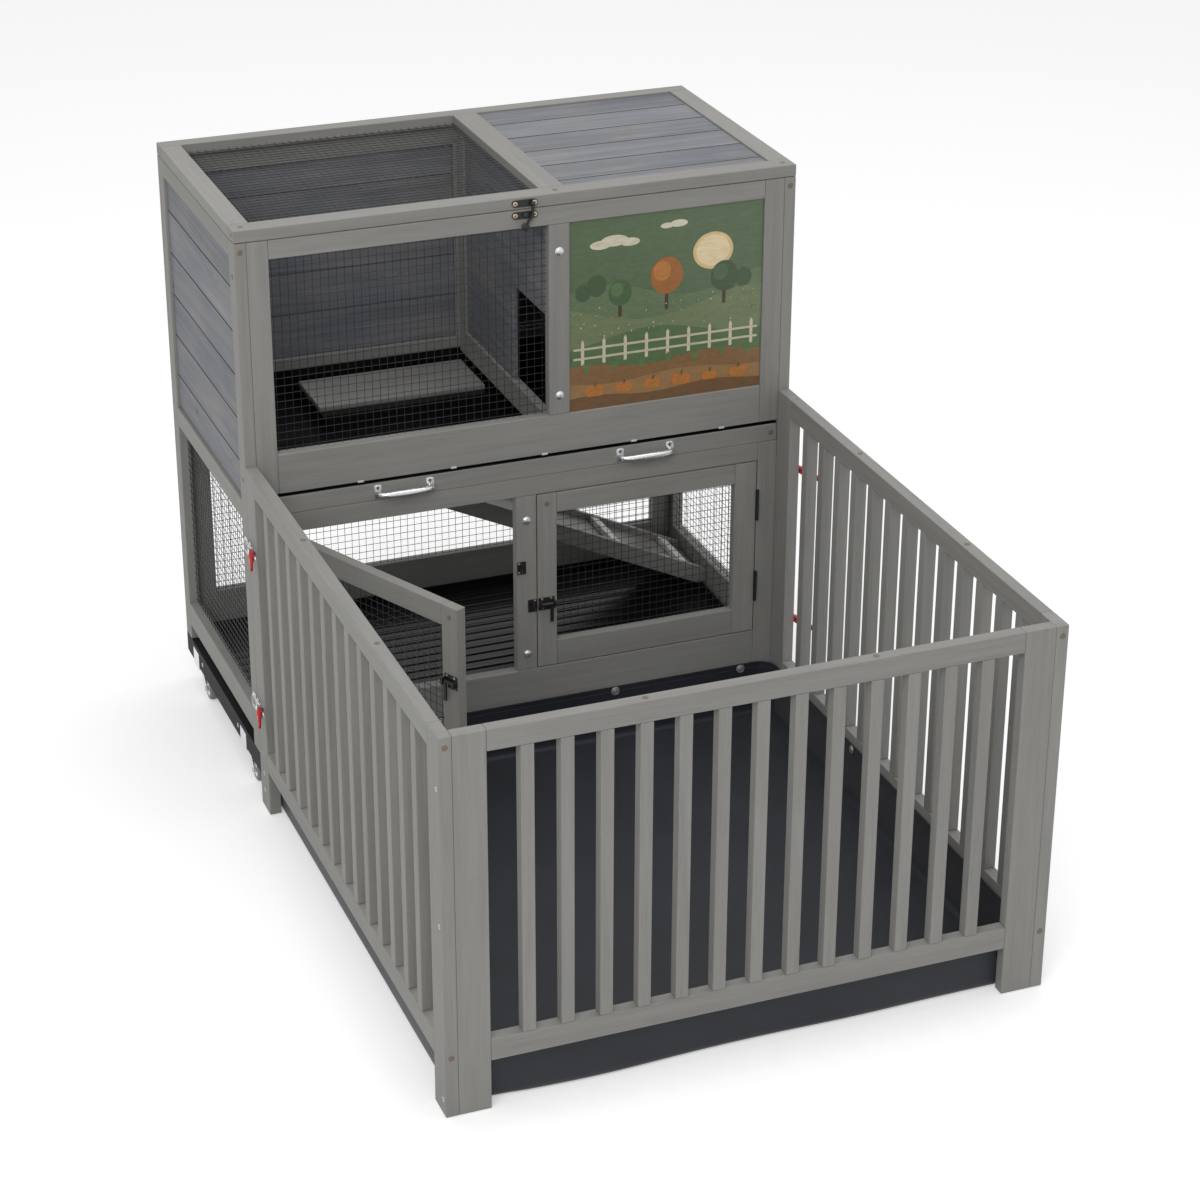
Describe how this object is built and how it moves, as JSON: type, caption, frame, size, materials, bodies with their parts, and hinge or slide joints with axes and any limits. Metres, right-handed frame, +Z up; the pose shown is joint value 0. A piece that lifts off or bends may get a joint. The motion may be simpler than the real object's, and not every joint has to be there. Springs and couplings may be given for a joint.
{
  "type": "small animal playpen",
  "caption": "Two-storey wooden hutch with wire mesh, lid, pull-out trays, ramp and doors, on casters, with a slatted run and a floor mat in front.",
  "frame": {"origin": "on the floor, at the middle of the whole footprint", "axes": "+Z up, -Y out of the hutch's front and along the run, +X to the right seen from the front"},
  "size_m": [0.961, 1.4047, 0.9665],
  "materials": {
    "frame_wood": "stained",
    "plank_wood": "stained",
    "printed_panel": "printed",
    "dowel_wood": "matte",
    "net_wire": "matte",
    "black_metal": "satin",
    "black_plastic": "matte",
    "bright_metal": "polished",
    "steel": "brushed",
    "wheel_plastic": "satin",
    "grip_red": "gloss",
    "mat_fabric": "woven"
  },
  "bodies": {
    "hutch": {"side_frame_left": "frame_wood", "side_frame_right": "frame_wood", "wall_planks": "plank_wood", "front_frame_upper": "frame_wood", "front_frame_lower": "frame_wood", "rear_frame": "frame_wood", "picture_panel": "printed_panel", "partition": "frame_wood", "mesh_upper_window": "net_wire", "mesh_sides": "net_wire", "mesh_rear": "net_wire", "tray_runners": "frame_wood", "ramp": "frame_wood", "base_strips": "black_plastic", "caster_plates": "bright_metal", "hinge_posts": "black_metal", "catch_plates": "black_metal", "fence_left": "frame_wood", "fence_right": "frame_wood", "fence_front": "frame_wood", "play_mat": "mat_fabric", "toggle_bases": "steel", "dowel_plugs": "dowel_wood", "screws": "black_metal", "dome_studs": "steel"},
    "lid": {"lid_frame": "frame_wood", "lid_mesh": "net_wire", "lid_planks": "plank_wood", "lid_hardware": "black_metal"},
    "hook": {"lid_hook": "black_metal"},
    "door_left": {"door_left_frame": "frame_wood", "door_left_mesh": "net_wire", "door_left_hardware": "black_metal"},
    "bolt_left": {"bolt_rod_left": "black_metal"},
    "door_right": {"door_right_frame": "frame_wood", "door_right_mesh": "net_wire", "door_right_hardware": "black_metal"},
    "bolt_right": {"bolt_rod_right": "black_metal"},
    "tray_upper": {"upper_tray": "black_plastic", "upper_tray_front": "frame_wood", "tray_handles": "steel"},
    "hatch": {"hatch_cover": "frame_wood"},
    "tray_lower": {"lower_tray": "black_plastic", "lower_tray_front": "frame_wood"},
    "swivel_1": {"caster_fork_1": "bright_metal"},
    "wheel_1": {"caster_wheel_1": "wheel_plastic"},
    "lever_1": {"toggle_lever_1": "grip_red"},
    "bail_1": {"toggle_bail_1": "steel"},
    "swivel_2": {"caster_fork_2": "bright_metal"},
    "wheel_2": {"caster_wheel_2": "wheel_plastic"},
    "lever_2": {"toggle_lever_2": "grip_red"},
    "bail_2": {"toggle_bail_2": "steel"},
    "swivel_3": {"caster_fork_3": "bright_metal"},
    "wheel_3": {"caster_wheel_3": "wheel_plastic"},
    "lever_3": {"toggle_lever_3": "grip_red"},
    "bail_3": {"toggle_bail_3": "steel"},
    "swivel_4": {"caster_fork_4": "bright_metal"},
    "wheel_4": {"caster_wheel_4": "wheel_plastic"},
    "lever_4": {"toggle_lever_4": "grip_red"},
    "bail_4": {"toggle_bail_4": "steel"}
  },
  "joints": [
    {"name": "lid_hinge", "type": "hinge", "parent": "hutch", "child": "lid", "pos_m": [0, 0.69935, 0.947], "axis": [-1, 0, 0], "range_deg": [0, 100]},
    {"name": "hook_pivot", "type": "hinge", "parent": "lid", "child": "hook", "pos_m": [0.012, 0.22105, 0.957], "axis": [0, -1, 0], "range_deg": [0, 90]},
    {"name": "door_left_hinge", "type": "hinge", "parent": "hutch", "child": "door_left", "pos_m": [-0.40425, 0.22295, 0.255], "axis": [0, 0, -1], "range_deg": [-64.7, 25.3]},
    {"name": "door_right_hinge", "type": "hinge", "parent": "hutch", "child": "door_right", "pos_m": [0.40425, 0.22295, 0.255], "axis": [0, 0, 1], "range_deg": [0, 90]},
    {"name": "bolt_left_slide", "type": "slide", "parent": "door_left", "child": "bolt_left", "axis": [0.4274, -0.9041, 0], "range_m": [0, 0.0135]},
    {"name": "bolt_right_slide", "type": "slide", "parent": "door_right", "child": "bolt_right", "axis": [-1, 0, 0], "range_m": [0, 0.0135]},
    {"name": "tray_upper_slide", "type": "slide", "parent": "hutch", "child": "tray_upper", "axis": [0, -1, 0], "range_m": [0, 0.295]},
    {"name": "hatch_lift", "type": "slide", "parent": "tray_upper", "child": "hatch", "axis": [0, 0, 1], "range_m": [0, 0.3]},
    {"name": "tray_lower_slide", "type": "slide", "parent": "hutch", "child": "tray_lower", "axis": [-1, 0, 0], "range_m": [0, 0.6]},
    {"name": "swivel_1_spin", "type": "hinge", "parent": "hutch", "child": "swivel_1", "pos_m": [-0.441, 0.32605, 0.048], "axis": [0, 0, 1], "continuous": true},
    {"name": "wheel_1_spin", "type": "hinge", "parent": "swivel_1", "child": "wheel_1", "pos_m": [-0.441, 0.29805, 0.02], "axis": [1, 0, 0], "continuous": true},
    {"name": "swivel_2_spin", "type": "hinge", "parent": "hutch", "child": "swivel_2", "pos_m": [-0.441, 0.63105, 0.048], "axis": [0, 0, 1], "continuous": true},
    {"name": "wheel_2_spin", "type": "hinge", "parent": "swivel_2", "child": "wheel_2", "pos_m": [-0.441, 0.60305, 0.02], "axis": [1, 0, 0], "continuous": true},
    {"name": "swivel_3_spin", "type": "hinge", "parent": "hutch", "child": "swivel_3", "pos_m": [0.441, 0.32605, 0.048], "axis": [0, 0, 1], "continuous": true},
    {"name": "wheel_3_spin", "type": "hinge", "parent": "swivel_3", "child": "wheel_3", "pos_m": [0.441, 0.29805, 0.02], "axis": [1, 0, 0], "continuous": true},
    {"name": "swivel_4_spin", "type": "hinge", "parent": "hutch", "child": "swivel_4", "pos_m": [0.441, 0.63105, 0.048], "axis": [0, 0, 1], "continuous": true},
    {"name": "wheel_4_spin", "type": "hinge", "parent": "swivel_4", "child": "wheel_4", "pos_m": [0.441, 0.60305, 0.02], "axis": [1, 0, 0], "continuous": true},
    {"name": "lever_1_pivot", "type": "hinge", "parent": "hutch", "child": "lever_1", "pos_m": [-0.4625, 0.20405, 0.185], "axis": [0, 0, -1], "range_deg": [0, 110]},
    {"name": "bail_1_pivot", "type": "hinge", "parent": "lever_1", "child": "bail_1", "pos_m": [-0.4625, 0.19705, 0.185], "axis": [0, 0, -1], "range_deg": [-110, 0]},
    {"name": "lever_2_pivot", "type": "hinge", "parent": "hutch", "child": "lever_2", "pos_m": [-0.4625, 0.20405, 0.457], "axis": [0, 0, -1], "range_deg": [0, 110]},
    {"name": "bail_2_pivot", "type": "hinge", "parent": "lever_2", "child": "bail_2", "pos_m": [-0.4625, 0.19705, 0.457], "axis": [0, 0, -1], "range_deg": [-110, 0]},
    {"name": "lever_3_pivot", "type": "hinge", "parent": "hutch", "child": "lever_3", "pos_m": [0.4625, 0.20405, 0.185], "axis": [0, 0, 1], "range_deg": [0, 110]},
    {"name": "bail_3_pivot", "type": "hinge", "parent": "lever_3", "child": "bail_3", "pos_m": [0.4625, 0.19705, 0.185], "axis": [0, 0, 1], "range_deg": [-110, 0]},
    {"name": "lever_4_pivot", "type": "hinge", "parent": "hutch", "child": "lever_4", "pos_m": [0.4625, 0.20405, 0.457], "axis": [0, 0, 1], "range_deg": [0, 110]},
    {"name": "bail_4_pivot", "type": "hinge", "parent": "lever_4", "child": "bail_4", "pos_m": [0.4625, 0.19705, 0.457], "axis": [0, 0, 1], "range_deg": [-110, 0]}
  ],
  "couplings": [
    {"joint": "bail_1_pivot", "follows": "lever_1_pivot", "ratio": -1},
    {"joint": "bail_2_pivot", "follows": "lever_2_pivot", "ratio": -1},
    {"joint": "bail_3_pivot", "follows": "lever_3_pivot", "ratio": -1},
    {"joint": "bail_4_pivot", "follows": "lever_4_pivot", "ratio": -1}
  ]
}
